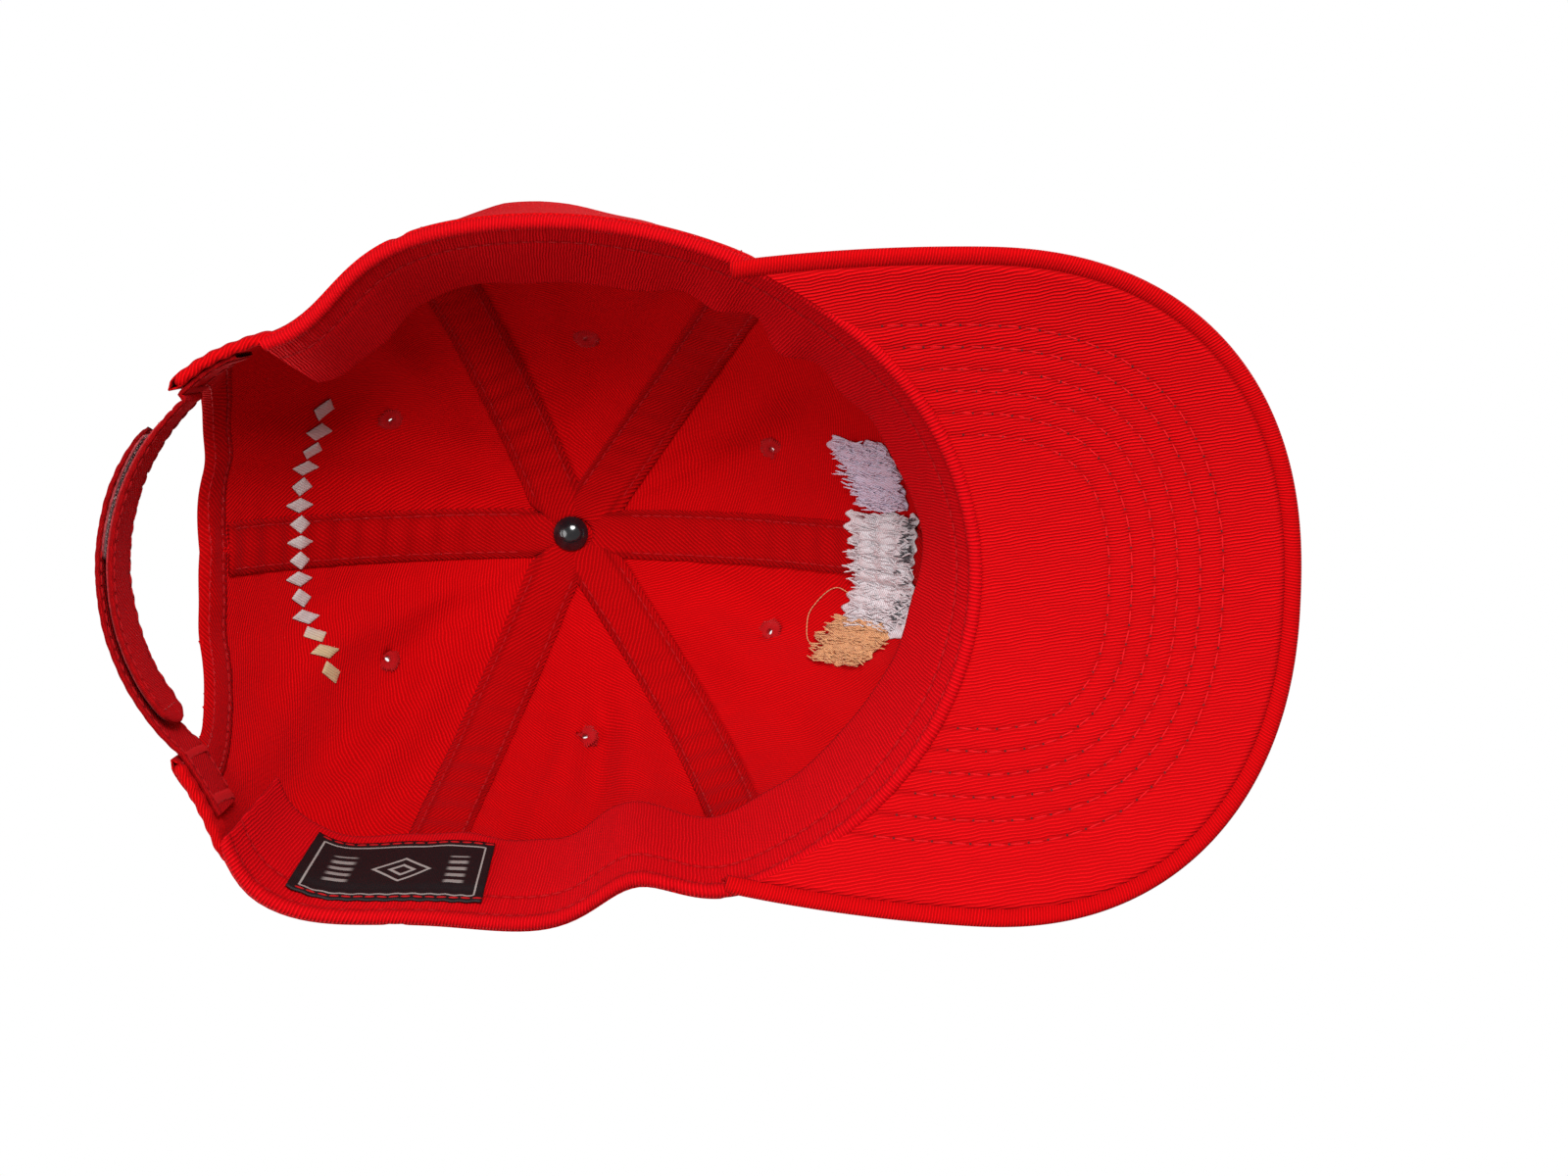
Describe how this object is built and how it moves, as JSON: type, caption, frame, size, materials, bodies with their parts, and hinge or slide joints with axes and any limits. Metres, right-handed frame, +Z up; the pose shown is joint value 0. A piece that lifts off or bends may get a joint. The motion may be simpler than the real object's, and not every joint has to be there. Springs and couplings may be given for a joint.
{
  "type": "fabric cap",
  "caption": "Soft red twill cap with a six-panel crown, a curved stiff visor, a sewn sweatband and a rear opening closed by hook-and-loop size straps.",
  "frame": {"origin": "middle of the head opening, level with the crown's rim", "axes": "+Z up to the button as worn, -Y forwards along the visor, +X to the wearer's left"},
  "size_m": [0.172, 0.2839, 0.1328],
  "materials": {
    "crown_cloth": "bright red cotton twill, matt",
    "tape_cloth": "red cotton tape, matt",
    "band_cloth": "red cotton twill, matt",
    "board": "plain white plastic sheet",
    "cap_plastic": "glossy black",
    "post_metal": "plain steel",
    "thread": "red sewing thread",
    "hook_tape": "dark red hook tape with pale fluff caught in it",
    "loop_tape": "red loop pile",
    "label": "black woven satin with pale threads",
    "emblem_thread": "pale embroidery thread",
    "motif_thread": "white embroidery thread"
  },
  "bodies": {
    "root": {"arch_binding": "crown_cloth", "bar_tacks": "thread", "button_cap": "cap_plastic", "button_post": "post_metal", "button_shell": "crown_cloth", "front_embroidery": "emblem_thread", "front_embroidery_backing": "emblem_thread", "front_panel_left": "crown_cloth", "front_panel_right": "crown_cloth", "front_seam_tape": "tape_cloth", "hook_strap_root": "crown_cloth", "left_front_seam_tape": "tape_cloth", "left_rear_seam_tape": "tape_cloth", "loop_strap_root": "crown_cloth", "rear_embroidery": "motif_thread", "rear_embroidery_backing": "motif_thread", "rear_panel_left": "crown_cloth", "rear_panel_right": "crown_cloth", "rear_seam_tape": "tape_cloth", "right_front_seam_tape": "tape_cloth", "right_rear_seam_tape": "tape_cloth", "sewn_eyelets": "thread", "side_panel_left": "crown_cloth", "side_panel_right": "crown_cloth", "sweatband": "band_cloth", "visor_board": "board", "visor_top_cover": "crown_cloth", "visor_under_cover": "crown_cloth", "woven_label": "label"},
    "hook_side": {"hook_strap": "crown_cloth", "hook_patch": "hook_tape"},
    "loop_side": {"loop_strap": "crown_cloth", "loop_patch": "loop_tape"}
  },
  "joints": [
    {"name": "hook_strap_peel", "type": "hinge", "parent": "root", "child": "hook_side", "pos_m": [0.0423, 0.08627, 0.0115], "axis": [0, 0, -1], "range_deg": [0, 75]},
    {"name": "loop_strap_fold", "type": "hinge", "parent": "root", "child": "loop_side", "pos_m": [-0.0423, 0.08166, 0.0115], "axis": [0, 0, -1], "range_deg": [0, 40]}
  ]
}
